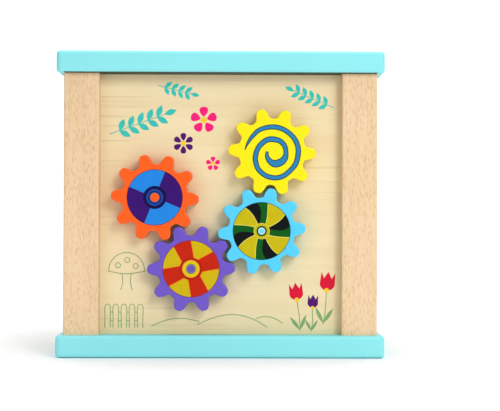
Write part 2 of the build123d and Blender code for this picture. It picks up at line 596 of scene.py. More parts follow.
def mesh_of(shape: bmesh.types.BMesh, name: str) -> bpy.types.Mesh:
    """Turn a shape into a new mesh, and free it.

    Args:
        shape: the finished shape.
        name: the mesh's name.

    Returns:
        The mesh.
    """
    mesh = bpy.data.meshes.new(name)
    shape.to_mesh(mesh)
    shape.free()
    return mesh


def settle(piece: bpy.types.Object) -> None:
    """Turn a piece and its modifiers into a plain mesh.

    Args:
        piece: the piece.
    """
    shown = piece.evaluated_get(bpy.context.evaluated_depsgraph_get())
    mesh = bpy.data.meshes.new_from_object(shown)
    mesh.name = piece.name
    piece.modifiers.clear()
    piece.data = mesh


def smooth(piece: bpy.types.Object, angle: float = 32.0, flatness: int = 60) -> None:
    """Shade a piece smooth.

    Args:
        piece: the piece.
        angle: edges over this angle, in degrees, stay hard.
        flatness: how much more large faces count than small ones, from 50 up.
    """
    piece.data.shade_smooth()
    piece.data.set_sharp_from_angle(angle=math.radians(angle))
    weighted = piece.modifiers.new("flat_faces", "WEIGHTED_NORMAL")
    weighted.keep_sharp = True
    weighted.weight = flatness
    settle(piece)


def welded_copy(node: str, name: str) -> bpy.types.Object:
    """Return a copy of a node with its corners merged and its flat faces whole.

    Args:
        node: the node's name.
        name: the copy's name.

    Returns:
        The copy, without the shading normals of the node.
    """
    shape = bmesh.new()
    shape.from_mesh(frame["nodes"][node].data)
    bmesh.ops.remove_doubles(shape, verts=shape.verts, dist=COPY_WELD * MM)
    bmesh.ops.dissolve_limit(shape, angle_limit=math.radians(FLAT_ANGLE), verts=shape.verts,
                             edges=shape.edges)
    mesh = mesh_of(shape, name)
    for layer in list(mesh.attributes):
        if layer.name == "custom_normal":
            mesh.attributes.remove(layer)
    return new_object(name, mesh)


def dress(target: bpy.types.Object, material: bpy.types.Material) -> None:
    """Give an object one material."""
    target.data.materials.clear()
    target.data.materials.append(material)


def hand_over(piece: bpy.types.Object, body: str, slot: str, *nodes: str) -> None:
    """Attach a finished piece to its body, hide the nodes it stands for and log its faces.

    Args:
        piece: the piece.
        body: what it rides on.
        slot: not used.
        nodes: what it stands for.
    """
    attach(piece, body)
    if nodes:
        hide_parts(*nodes)
    LOG.info("%s: %d faces on %s", piece.name, len(piece.data.polygons), body)


def hang(piece: bpy.types.Object, place: Vector, angle: float = 0.0) -> None:
    """Stand up what was made lying, with its front forwards.

    Args:
        piece: the piece, whose back is at height 0.
        place: where its origin goes.
        angle: its turn in degrees, anticlockwise as seen from the front.
    """
    upright = Matrix.Rotation(math.radians(90), 4, "X")
    turned = Matrix.Rotation(math.radians(angle), 4, "Z")
    piece.data.transform(Matrix.Translation(place) @ upright @ turned)


def close_up(piece: bpy.types.Object) -> None:
    """Point the faces of a closed piece outwards.

    Args:
        piece: the piece.
    """
    shape = bmesh.new()
    shape.from_mesh(piece.data)
    bmesh.ops.recalc_face_normals(shape, faces=shape.faces)
    shape.to_mesh(piece.data)
    shape.free()


# ------------------------------------------------------------------ geometry trees
class Repeat:
    """Geometry tree with named inputs whose last steps realise the copies and dress them."""

    def __init__(self, name: str, inputs: dict[str, str]) -> None:
        """Start the tree.

        Args:
            name: the tree's name.
            inputs: type name of each input socket by its name.
        """
        self.tree = bpy.data.node_groups.new(name, "GeometryNodeTree")
        self.graph = Graph(self.tree)
        self.identifiers: dict[str, str] = {}
        sockets = {"Geometry": "NodeSocketGeometry", **inputs, "Finish": "NodeSocketMaterial"}
        for title, kind in sockets.items():
            made = self.tree.interface.new_socket(title, in_out="INPUT", socket_type=kind)
            self.identifiers[title] = made.identifier
        self.tree.interface.new_socket("Result", in_out="OUTPUT", socket_type="NodeSocketGeometry")
        self.entry = self.tree.nodes.new("NodeGroupInput")

    def given(self, title: str) -> Value:
        """Return one input of the tree."""
        return Value(self.graph, self.entry.outputs[title])

    def close(self, copies: Value, weld: float = 0.0) -> "Repeat":
        """Realise the copies, set the material and end the tree.

        Args:
            copies: what the tree has made.
            weld: corners that are nearer than this, in millimetres, are merged.

        Returns:
            The tree.
        """
        whole = self.graph.add("GeometryNodeRealizeInstances", {}, {"Geometry": copies})
        if weld:
            whole = self.graph.add("GeometryNodeMergeByDistance", {},
                                   {"Geometry": whole, "Distance": weld * MM})
        dressed = self.graph.add("GeometryNodeSetMaterial", {},
                                 {"Geometry": whole, "Material": self.given("Finish")})
        self.graph.add("NodeGroupOutput", {}, {"Result": dressed})
        return self

    def on_points(self, points: Value, **others: Value) -> Value:
        """Return a copy of the piece on each point, with other sockets of the node if given."""
        sockets = {"Points": points, "Instance": self.given("Geometry"), **others}
        return self.graph.add("GeometryNodeInstanceOnPoints", {}, sockets)

    def run(self, piece: bpy.types.Object, finish: bpy.types.Material, **inputs: float) -> None:
        """Run the tree on a piece and keep the result as its plain mesh.

        Args:
            piece: the piece.
            finish: its material.
            inputs: the tree's own inputs, in small letters and with _ for a space.
        """
        modifier = piece.modifiers.new(self.tree.name, "NODES")
        modifier.node_group = self.tree
        modifier[self.identifiers["Finish"]] = finish
        for title, value in inputs.items():
            modifier[self.identifiers[title.replace("_", " ").capitalize()]] = value
        settle(piece)
        dress(piece, finish)


def around_axis() -> Repeat:
    """Return the tree that repeats a piece around the Z axis and welds the copies."""
    repeat = Repeat("around_axis", {"Count": "NodeSocketInt"})
    graph = repeat.graph
    count = repeat.given("Count")
    index = graph.add("GeometryNodeInputIndex")
    turn = graph.add("ShaderNodeCombineXYZ", {}, {"Z": index * (2 * math.pi / count)})
    rotation = graph.add("FunctionNodeEulerToRotation", {}, {"Euler": turn})
    points = graph.add("GeometryNodePoints", {}, {"Count": count})
    return repeat.close(repeat.on_points(points, Rotation=rotation), weld=0.004)


def on_corners() -> Repeat:
    """Return the tree that puts a piece on the four corners of a rectangle."""
    repeat = Repeat("on_corners", {"Span x": "NodeSocketFloat", "Span y": "NodeSocketFloat"})
    corners = repeat.graph.add("GeometryNodeMeshGrid", {},
                               {"Size X": repeat.given("Span x"), "Size Y": repeat.given("Span y"),
                                "Vertices X": 2, "Vertices Y": 2})
    return repeat.close(repeat.on_points(corners))


def along_line() -> Repeat:
    """Return the tree that puts a piece at even steps along X."""
    repeat = Repeat("along_line", {"Count": "NodeSocketInt", "Step": "NodeSocketFloat"})
    offset = repeat.graph.add("ShaderNodeCombineXYZ", {}, {"X": repeat.given("Step")})
    line = repeat.graph.add("GeometryNodeMeshLine", {},
                            {"Count": repeat.given("Count"), "Offset": offset})
    return repeat.close(repeat.on_points(line))


def ribbon(across_points: int = 5) -> Repeat:
    """Return the tree that lays a thin band of changing width along smooth lines.

    Args:
        across_points: how many points the band has across.

    Returns:
        The tree. It reads half_width and writes across, which is -1 to 1.
    """
    repeat = Repeat("ribbon", {"Steps": "NodeSocketInt", "Depth": "NodeSocketFloat"})
    graph = repeat.graph
    line = graph.add("GeometryNodeMeshToCurve", {}, {"Mesh": repeat.given("Geometry")})
    bent = graph.add("GeometryNodeCurveSplineType", {"spline_type": "CATMULL_ROM"},
                     {"Curve": line})
    fine = graph.add("GeometryNodeSetSplineResolution", {},
                     {"Geometry": bent, "Resolution": repeat.given("Steps")})
    level = graph.add("GeometryNodeSetCurveNormal", {"mode": "Z_UP"}, {"Curve": fine})
    rod = graph.add("GeometryNodeMeshLine", {},
                    {"Count": across_points, "Start Location": (-1, 0, 0),
                     "Offset": (2 / (across_points - 1), 0, 0)})
    place = graph.add("GeometryNodeInputPosition")
    across = graph.add("ShaderNodeSeparateXYZ", {}, {0: place}, output="X")
    marked = graph.add("GeometryNodeStoreNamedAttribute", {"data_type": "FLOAT"},
                       {"Geometry": rod, "Name": "across", "Value": across})
    profile = graph.add("GeometryNodeMeshToCurve", {}, {"Mesh": marked})
    width = graph.add("GeometryNodeInputNamedAttribute", {"data_type": "FLOAT"},
                      {"Name": "half_width"})
    band = graph.add("GeometryNodeCurveToMesh", {},
                     {"Curve": level, "Profile Curve": profile, "Scale": width})
    raised = graph.add("GeometryNodeExtrudeMesh", {},
                       {"Mesh": band, "Offset": (0, 0, 1), "Individual": False,
                        "Offset Scale": repeat.given("Depth")})
    back = graph.add("GeometryNodeFlipFaces", {}, {"Mesh": band})
    both = graph.add("GeometryNodeJoinGeometry", {}, {"Geometry": [raised, back]})
    return repeat.close(both, weld=0.001)


# ------------------------------------------------------------------ toothed wheels
def polar(radius: float, angle: float) -> Vector:
    """Return the point at a radius and an angle in radians."""
    return Vector((radius * math.cos(angle), radius * math.sin(angle)))


def circle_through(first: Vector, second: Vector, third: Vector) -> tuple[Vector, float]:
    """Find the circle through three points.

    Args:
        first: one point.
        second: another.
        third: the last.

    Returns:
        The circle's centre and radius.
    """
    a, b = second - first, third - first
    cross = 2 * (a.x * b.y - a.y * b.x)
    x = (b.y * a.length_squared - a.y * b.length_squared) / cross
    y = (a.x * b.length_squared - b.x * a.length_squared) / cross
    return first + Vector((x, y)), math.hypot(x, y)


def circles_meet(one: Vector, one_radius: float, two: Vector, two_radius: float,
                 near: Vector) -> Vector:
    """Find where two circles cross.

    Args:
        one: centre of the first circle.
        one_radius: its radius.
        two: centre of the second circle.
        two_radius: its radius.
        near: a point by the crossing that is meant.

    Returns:
        The crossing.
    """
    apart = two - one
    along = (one_radius ** 2 - two_radius ** 2 + apart.length_squared) / (2 * apart.length)
    across = math.sqrt(max(0.0, one_radius ** 2 - along ** 2))
    middle = one + apart.normalized() * along
    side = Vector((-apart.y, apart.x)).normalized() * across
    return min((middle + side, middle - side), key=lambda p: (p - near).length)


def bearing(start: Vector, end: Vector) -> float:
    """Return the direction from one point to another, in radians."""
    return math.atan2(end.y - start.y, end.x - start.x)


@dataclass(frozen=True)
class ToothForm:
    """Outline of the wheels' teeth, with the sizes that the solid wheels have."""

    teeth: int = 10
    module: float = 5.0
    pressure_angle: float = 30.0
    addendum: float = 2.7
    root_clearance: float = 1.2
    backlash: float = 1.4
    tip_round: float = 2.6
    root_round: float = 2.8
    arc_steps: int = 6

    @property
    def pitch(self) -> float:
        """Radius at which the wheels roll on each other."""
        return self.module * self.teeth / 2

    @property
    def tip(self) -> float:
        """Radius over the teeth."""
        return self.pitch + self.addendum

    @property
    def root(self) -> float:
        """Radius between the teeth."""
        return self.pitch - self.addendum - self.root_clearance

    def rolled(self, radius: float) -> float:
        """Return the angle that the involute has unrolled at a radius."""
        base = self.pitch * math.cos(math.radians(self.pressure_angle))
        turn = math.acos(min(1.0, base / radius))
        return math.tan(turn) - turn

    def flank(self, radius: float) -> Vector:
        """Return the flank's point at a radius, for a tooth whose middle lies on +X."""
        half_tooth = (math.pi * self.module - self.backlash) / 4 / self.pitch
        return polar(radius, half_tooth + self.rolled(self.pitch) - self.rolled(radius))

    def half_outline(self) -> list[tuple[Vector, Vector]]:
        """Work out the outline from the middle of a tip to that of a root.

        Returns:
            Its points and their outward normals.
        """
        hub = Vector((0, 0))
        flank, flank_radius = circle_through(*map(self.flank, (self.root, self.pitch, self.tip)))
        tip_round = circles_meet(hub, self.tip - self.tip_round, flank,
                                 flank_radius - self.tip_round, self.flank(self.tip))
        root_round = circles_meet(hub, self.root + self.root_round, flank,
                                  flank_radius + self.root_round, self.flank(self.root))
        lean = bearing(flank, tip_round)
        foot = bearing(flank, root_round)
        valley = math.pi / self.teeth
        arcs = [(hub, self.tip, 0.0, bearing(hub, tip_round), 1),
                (tip_round, self.tip_round, bearing(hub, tip_round), lean, 1),
                (flank, flank_radius, lean, foot, 1),
                (root_round, self.root_round, foot + math.pi, bearing(hub, root_round) + math.pi, -1),
                (hub, self.root, bearing(hub, root_round), valley, 1)]
        points: list[tuple[Vector, Vector]] = []
        for centre, radius, start, end, sign in arcs:
            if end - start > math.pi:
                end -= 2 * math.pi
            if start - end > math.pi:
                end += 2 * math.pi
            for step in range(self.arc_steps):
                angle = start + (end - start) * step / self.arc_steps
                points.append((centre + polar(radius, angle), polar(sign, angle)))
        points.append((polar(self.root, valley), polar(1, valley)))
        return points

    def pitch_outline(self) -> list[tuple[Vector, Vector]]:
        """Return points and outward normals over one whole tooth, anticlockwise."""
        half = self.half_outline()
        mirrored = [(Vector((p.x, -p.y)), Vector((n.x, -n.y))) for p, n in reversed(half[1:])]
        return mirrored + half


@dataclass
class Wheel:
    """One painted wheel: rounded teeth, a blind socket behind and a flat front."""

    colour: str
    form: ToothForm = field(default_factory=ToothForm)
    edge_round: float = 0.9
    edge_steps: int = 4
    socket_radius: float = 5.05
    socket_depth: float = 6.0
    socket_steps: int = 6
    tip_tolerance: float = 0.02
    hard_angle: float = 40.0

    @property
    def node(self) -> str:
        """Name of the solid wheel."""
        return "gear_" + self.colour

    @property
    def body(self) -> str:
        """Name of the moving body."""
        return "wheel_" + self.colour

    def centre(self) -> Vector:
        """Return the middle of the wheel's front face, from its joint and its box."""
        joint = next(j for j in frame["joints"] if j["child"] == self.body)
        low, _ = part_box(self.node)
        return Vector((joint["pos_m"][0], low.y, joint["pos_m"][2]))

    def turn(self) -> float:
        """Find how the solid wheel is turned.

        Returns:
            The angle of a tooth's middle, in radians.
        """
        centre = self.centre()
        reach = (self.form.tip - self.tip_tolerance) * MM
        sine = cosine = 0.0
        for vertex in frame["nodes"][self.node].data.vertices:
            x, z = vertex.co.x - centre.x, vertex.co.z - centre.z
            if math.hypot(x, z) > reach:
                angle = math.atan2(z, x) * self.form.teeth
                sine += math.sin(angle)
                cosine += math.cos(angle)
        return math.atan2(sine, cosine) / self.form.teeth

    def edge(self, thickness: float) -> list[tuple[float, float]]:
        """Work out the profile of the wheel's rim, with both edges rounded.

        Args:
            thickness: the wheel's thickness.

        Returns:
            Inset and height of each point, from the back up.
        """
        turns = [math.pi / 2 * step / self.edge_steps for step in range(self.edge_steps + 1)]
        lower = [(self.edge_round * (1 - math.sin(turn)), self.edge_round * (1 - math.cos(turn)))
                 for turn in turns]
        return lower + [(inset, thickness - height) for inset, height in reversed(lower)]

    def sector(self, thickness: float) -> bpy.types.Mesh:
        """Make one tooth's share of the wheel, with its back at height 0.

        Args:
            thickness: the wheel's thickness.

        Returns:
            The mesh, which is open where the next share joins it.
        """
        outline = self.form.pitch_outline()
        half = math.pi / self.form.teeth
        around = [polar(self.socket_radius, half * (2 * i / self.socket_steps - 1))
                  for i in range(self.socket_steps + 1)]
        shape = bmesh.new()

        def level(points: list[Vector], height: float) -> list[bmesh.types.BMVert]:
            """Add points at a height."""
            return [shape.verts.new((p.x * MM, p.y * MM, height * MM)) for p in points]

        rings = [level([p - n * inset for p, n in outline], height)
                 for inset, height in self.edge(thickness)]
        for lower, upper in zip(rings, rings[1:]):
            for i in range(len(outline) - 1):
                shape.faces.new((lower[i], lower[i + 1], upper[i + 1], upper[i]))
        shape.faces.new([*level([Vector((0, 0))], thickness), *rings[-1]])
        mouth = level(around, 0)
        floor = level(around, self.socket_depth)
        shape.faces.new([*reversed(rings[0]), *mouth])
        for i in range(self.socket_steps):
            shape.faces.new((mouth[i + 1], mouth[i], floor[i], floor[i + 1]))
        shape.faces.new([*level([Vector((0, 0))], self.socket_depth), *reversed(floor)])
        return mesh_of(shape, self.node + "_tooth")

    def build(self, repeat: Repeat, material: bpy.types.Material) -> None:
        """Make the wheel in its place and hand it over.

        Args:
            repeat: the tree that turns one share into the wheel.
            material: the wheel's paint.
        """
        low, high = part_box(self.node)
        piece = new_object("painted_" + self.node, self.sector((high.y - low.y) / MM))
        repeat.run(piece, material, count=self.form.teeth)
        centre = self.centre()
        hang(piece, Vector((centre.x, high.y, centre.z)), math.degrees(self.turn()))
        smooth(piece, self.hard_angle)
        hand_over(piece, self.body, self.colour + "_paint", self.node)


# ------------------------------------------------------------------ wheel prints
PRINT_UNEVEN = Noise(260, detail=3)
PRINT_ROUGHNESS = 0.36
PRINT_ROUGHNESS_SPREAD = 0.1
PRINT_SPECULAR = 0.14


def close_print(graph: Graph, colour: Value, centre: Vector,
                dark_share: float) -> bpy.types.Material:
    """Close the tree of a print of several colours, which is a little darker in places.

    Args:
        graph: the tree.
        colour: the print's colours.
        centre: the point that the dark places are counted from.
        dark_share: how much black they have.

    Returns:
        The material.
    """
    uneven = graph.pattern(PRINT_UNEVEN, centre=centre)
    colour = graph.mix(uneven * dark_share, colour, BLACK)
    return surface(graph, colour, PRINT_ROUGHNESS + uneven * PRINT_ROUGHNESS_SPREAD, None,
                   {"Specular IOR Level": PRINT_SPECULAR})


@dataclass(frozen=True, kw_only=True)
class DiscPrint:
    """Round print on a wheel's front: fields between a hub and a thin dark rim.

    Angles are in degrees. The hub holds the radius and the colour of each disc, from the
    largest to the smallest.
    """

    reach: float
    rim: Colour
    hub: tuple[tuple[float, Colour], ...]
    rim_width: float = 0.35
    soft: float = 0.06
    dark_share: float = 0.14

    def fields(self, graph: Graph, radius: Value, angle: Value) -> Value:
        """Return the colour of the fields between hub and rim.

        Args:
            graph: the material's tree.
            radius: the distance from the middle.
            angle: the direction from the middle.

        Returns:
            The colour.
        """
        raise NotImplementedError

    def material(self, name: str, centre: Vector) -> bpy.types.Material:
        """Build the material.

        Args:
            name: the material's name.
            centre: the middle of the print.

        Returns:
            The material.
        """
        graph = new_material(name)
        radius, angle = graph.around(centre)
        colour = self.fields(graph, radius, angle)
        edge = graph.below(radius, self.reach - self.rim_width, self.soft)
        colour = graph.mix(edge, self.rim, colour)
        for limit, disc in self.hub:
            colour = graph.mix(graph.below(radius, limit, self.soft), colour, disc)
        return close_print(graph, colour, centre, self.dark_share)


@dataclass(frozen=True, kw_only=True)
class SplitDisc(DiscPrint):
    """Two pairs of facing sectors."""

    first: Colour
    second: Colour
    first_angle: float = 68.0
    first_span: float = 89.5
    soft_angle: float = 0.3

    def fields(self, graph: Graph, radius: Value, angle: Value) -> Value:
        """Return the colour of the sectors."""
        turned = (angle - self.first_angle) % 180
        inside = graph.below(turned, self.first_span, self.soft_angle)
        return graph.mix(inside, self.second, self.first)


@dataclass(frozen=True, kw_only=True)
class WedgeDisc(DiscPrint):
    """Four outlined wedges with cut-off points."""

    wedge: Colour
    outline: Colour
    ground: Colour
    middle_angle: float = 64.3
    foot: float = 7.5
    foot_half_width: float = 1.35
    flare: float = 0.72
    outline_width: float = 0.4

    def fields(self, graph: Graph, radius: Value, angle: Value) -> Value:
        """Return the colour of the wedges and of what lies between them."""
        turned = ((angle - (self.middle_angle - 45)) % 90 - 45) * math.radians(1)
        along = radius * graph.maths("COSINE", turned)
        across = abs(radius * graph.maths("SINE", turned))
        sides = self.foot_half_width + (along - self.foot) * self.flare - across
        depth = graph.maths("MINIMUM", sides / math.hypot(1, self.flare), along - self.foot)
        outside = graph.below(depth, -self.outline_width, self.soft)
        colour = graph.mix(outside, self.outline, self.ground)
        return graph.mix(graph.below(depth, 0, self.soft), self.wedge, colour)


@dataclass(frozen=True, kw_only=True)
class PinwheelDisc(DiscPrint):
    """Four times three bent blades.

    Each bend holds the angle at the rim and how much it changes towards the hub, as the
    factors of the share of the way and of its square.
    """

    bends: tuple[tuple[float, float, float], ...]
    blades: tuple[Colour, ...]
    outline: Colour
    outline_width: float = 0.35
    soft_angle: float = 0.25

    def fields(self, graph: Graph, radius: Value, angle: Value) -> Value:
        """Return the colour of the blades."""
        way = 1 - radius / self.reach
        starts = [rim + way * (once + way * twice) for rim, once, twice in self.bends]
        turned = (angle - starts[0]) % 90
        first = graph.below(turned - (starts[1] - starts[0]), 0, self.soft_angle)
        colour = graph.mix(first, self.blades[1], self.blades[0])
        per_degree = radius * math.radians(1)
        beyond = (turned - (starts[2] - starts[0])) * per_degree
        colour = graph.mix(graph.below(beyond, 0, self.soft), self.outline, colour)
        outlined = graph.below(beyond, self.outline_width, self.soft)
        colour = graph.mix(outlined, self.blades[2], colour)
        ending = graph.below((90 - turned) * per_degree, self.outline_width, self.soft)
        return graph.mix(ending, colour, self.outline)


@dataclass(frozen=True)
class OutlinedInk:
    """Ink of a band, with a thin darker line along both of its edges."""

    name: str
    colour: Colour
    line: Colour
    line_width: float = 0.6
    soft: float = 0.05
    dark_share: float = 0.12

    def material(self) -> bpy.types.Material:
        """Build the material.

        Returns:
            The material, which reads the attributes of the ribbon tree.
        """
        graph = new_material(self.name)
        across = graph.add("ShaderNodeAttribute", {"attribute_name": "across"}, {}, "Fac")
        half = graph.add("ShaderNodeAttribute", {"attribute_name": "half_width"}, {}, "Fac")
        inwards = (1 - abs(across)) * half / MM
        edge = graph.below(inwards, self.line_width, self.soft)
        colour = graph.mix(edge, self.colour, self.line)
        return close_print(graph, colour, ORIGIN, self.dark_share)


WHEEL_PRINTS = {
    "orange": SplitDisc(
        reach=17.7, rim=tint(70, 40, 60), first=tint(32, 132, 222), second=tint(54, 8, 108),
        hub=((7.3, tint(8, 2, 72)), (5.3, tint(22, 70, 156)), (4.2, tint(12, 28, 108)),
             (3.3, tint(60, 84, 140)), (2.75, tint(255, 92, 12)))),
    "purple": WedgeDisc(
        reach=18.0, rim=tint(120, 40, 50), ground=tint(196, 32, 0), wedge=tint(206, 178, 6),
        outline=tint(236, 132, 20),
        hub=((7.1, tint(176, 24, 4)), (5.6, tint(240, 150, 20)), (5.1, tint(222, 196, 20)),
             (3.3, tint(150, 130, 20)), (2.9, tint(120, 120, 150)), (2.2, tint(108, 80, 184)))),
    "blue": PinwheelDisc(
        reach=18.3, rim=tint(20, 50, 60), outline=tint(236, 226, 110),
        bends=((-12.0, -10.6, -13.7), (10.4, -48.0, 67.9), (35.6, -28.5, 24.2)),
        blades=(tint(0, 88, 18), tint(0, 4, 6), tint(198, 182, 6)),
        hub=((5.1, tint(226, 214, 84)), (4.8, tint(198, 182, 12)), (3.3, tint(0, 78, 26)),
             (2.2, tint(214, 240, 250)), (1.7, tint(110, 214, 250)))),
}
SPIRAL_INK = OutlinedInk("spiral_ink", tint(42, 128, 180), tint(4, 56, 70))


def film(name: str, outlines: list[list[Vector]]) -> bpy.types.Mesh:
    """Return thin flat shapes that lie with their backs at height 0.

    Args:
        name: the mesh's name.
        outlines: the corners of each shape, in order around it.

    Returns:
        The closed mesh.
    """
    shape = bmesh.new()
    for outline in outlines:
        back, front = [[shape.verts.new((p.x * MM, p.y * MM, height * MM)) for p in outline]
                       for height in (0, FILM_DEPTH)]
        shape.faces.new(front)
        shape.faces.new(back)
        for i in range(len(outline)):
            shape.faces.new((back[i - 1], back[i], front[i], front[i - 1]))
    bmesh.ops.recalc_face_normals(shape, faces=shape.faces)
    return mesh_of(shape, name)


def strokes(name: str, lines: list[list[Stroke]]) -> bpy.types.Mesh:
    """Return lines for the ribbon tree.

    Args:
        name: the mesh's name.
        lines: the points of each line, as place and whole width.

    Returns:
        The mesh of edges, with the half widths as an attribute.
    """
    mesh = bpy.data.meshes.new(name)
    points = [point for line in lines for point in line]
    edges = []
    for line in lines:
        start = edges[-1][1] + 1 if edges else 0
        edges += [(i, i + 1) for i in range(start, start + len(line) - 1)]
    mesh.from_pydata([(x * MM, y * MM, 0) for x, y, _ in points], edges, [])
    widths = mesh.attributes.new("half_width", "FLOAT", "POINT")
    for i, (_, _, width) in enumerate(points):
        widths.data[i].value = width / 2 * MM
    return mesh


def drawn(name: str, lines: list[list[Stroke]], band: Repeat, finish: bpy.types.Material,
          steps: int) -> bpy.types.Object:
    """Draw smooth lines as thin bands.

    Args:
        name: the piece's name.
        lines: the points of each line, as place and whole width.
        band: the ribbon tree.
        finish: the material.
        steps: how many straight steps lie between two points.

    Returns:
        The closed piece, still lying.
    """
    piece = new_object(name, strokes(name, lines))
    band.run(piece, finish, steps=steps, depth=FILM_DEPTH * MM)
    close_up(piece)
    return piece


def arc(reach: Point, centre: Point, start: float, end: float, steps: int) -> list[Vector]:
    """Return points along a round or flattened arc.

    Args:
        reach: its radius along x and along y.
        centre: its middle.
        start: where it starts, in half turns from +x.
        end: where it ends, in half turns.
        steps: edges between its points.

    Returns:
        The points, with both ends.
    """
    angles = [math.pi * (start + (end - start) * i / steps) for i in range(steps + 1)]
    return [Vector((centre[0] + reach[0] * math.cos(angle), centre[1] + reach[1] * math.sin(angle)))
            for angle in angles]


def circle(radius: float, corners: int) -> list[Vector]:
    """Return the corners of a circle around the origin."""
    return arc((radius, radius), (0, 0), 0, 2, corners)[:-1]


@dataclass
class WheelFace:
    """Print on the front of a wheel: a disc, or the spiral where there is none.

    The spiral holds its points from the rim inwards, as place and whole width.
    """

    colour: str
    disc_corners: int = 120
    spiral_steps: int = 8
    spiral: tuple[Stroke, ...] = (
        (-17.3, 0.95, 0.5), (-15.3, 5.5, 1.8), (-12.2, 10.0, 2.7), (-7.5, 14.0, 3.0),
        (0.1, 15.7, 3.3), (7.0, 14.2, 3.3), (13.0, 9.7, 3.3), (16.0, 4.4, 3.4),
        (16.5, -1.4, 3.5), (14.7, -8.0, 3.4), (10.3, -13.0, 3.3), (6.0, -15.8, 3.3),
        (1.2, -16.5, 3.3), (-4.2, -15.0, 3.3), (-8.6, -11.2, 3.3), (-10.3, -6.5, 3.4),
        (-10.5, -2.9, 3.4), (-8.9, 2.2, 3.4), (-5.7, 5.9, 3.5), (-2.4, 7.7, 3.6),
        (0.9, 7.85, 3.7), (4.9, 6.8, 3.5), (7.9, 3.7, 3.3), (8.8, -0.7, 3.2),
        (7.9, -4.3, 4.2), (5.6, -6.5, 4.8), (1.95, -7.6, 4.8), (-1.3, -6.1, 3.7),
        (-3.1, -3.2, 2.8), (-3.2, -0.6, 2.0), (-3.1, 0.3, 1.0))

    def build(self, band: Repeat, body: str, centre: Vector) -> None:
        """Make the print and hand it over.

        Args:
            band: the ribbon tree.
            body: what the print moves with.
            centre: the middle of the wheel's front.
        """
        name = "print_on_" + self.colour
        design = WHEEL_PRINTS.get(self.colour)
        if design:
            piece = new_object(name, film(name, [circle(design.reach, self.disc_corners)]))
            dress(piece, design.material(name, centre))
        else:
            piece = drawn(name, [list(self.spiral)], band, SPIRAL_INK.material(),
                          self.spiral_steps)
        hang(piece, centre)
        hand_over(piece, body, self.colour + "_paint")


# ------------------------------------------------------------------ panel print
TEAL_INK = Ink("teal_ink", tint(58, 196, 184))
PINK_INK = Ink("pink_ink", tint(248, 24, 124))
VIOLET_INK = Ink("violet_ink", tint(84, 12, 110))
RED_INK = Ink("red_ink", tint(222, 16, 56))
SUN_INK = Ink("sun_ink", tint(248, 208, 44))
LINE_INK = Ink("line_ink", tint(132, 168, 112))


def petal(start: float, length: float, width: float, corners: int = 28) -> list[Vector]:
    """Return the outline of a petal along +X that is fullest towards its end.

    Args:
        start: how far from the origin it starts.
        length: from there to its end.
        width: across it.
        corners: of its outline.

    Returns:
        The corners, in order.
    """
    foot_swell, more_at_end = 0.45, 0.7
    outline = []
    for i in range(corners):
        angle = 2 * math.pi * i / corners
        share = (1 - math.cos(angle)) / 2
        swell = math.sin(angle) * (foot_swell + more_at_end * share)
        outline.append(Vector((start + length * share, width / 2 * swell)))
    return outline


def leaf(length: float, width: float, angle: float, steps: int = 10) -> list[Vector]:
    """Return the outline of a leaf with two points.

    Args:
        length: from point to point.
        width: across its middle.
        angle: its direction in degrees.
        steps: edges of each side.

    Returns:
        The corners, in order.
    """
    sides = [(i / steps, 1) for i in range(steps)] + [(1 - i / steps, -1) for i in range(steps)]
    turn = Matrix.Rotation(math.radians(angle), 2)
    return [turn @ Vector((length * share, side * width / 2 * math.sin(math.pi * share)))
            for share, side in sides]


def tulip_head(width: float, height: float, steps: int = 12) -> list[Vector]:
    """Return the outline of a tulip's head that stands on the origin.

    Args:
        width: its width.
        height: its height.
        steps: edges of its round cup.

    Returns:
        The corners: the cup, and then the three points above it.
    """
    cup = 0.35 * height
    tips = ((0.46, 0.96), (0.26, 0.64), (0, 1), (-0.26, 0.64), (-0.46, 0.96))
    return (arc((width / 2, cup), (0, cup), 1, 2, steps)
            + [Vector((width * across, height * up)) for across, up in tips])


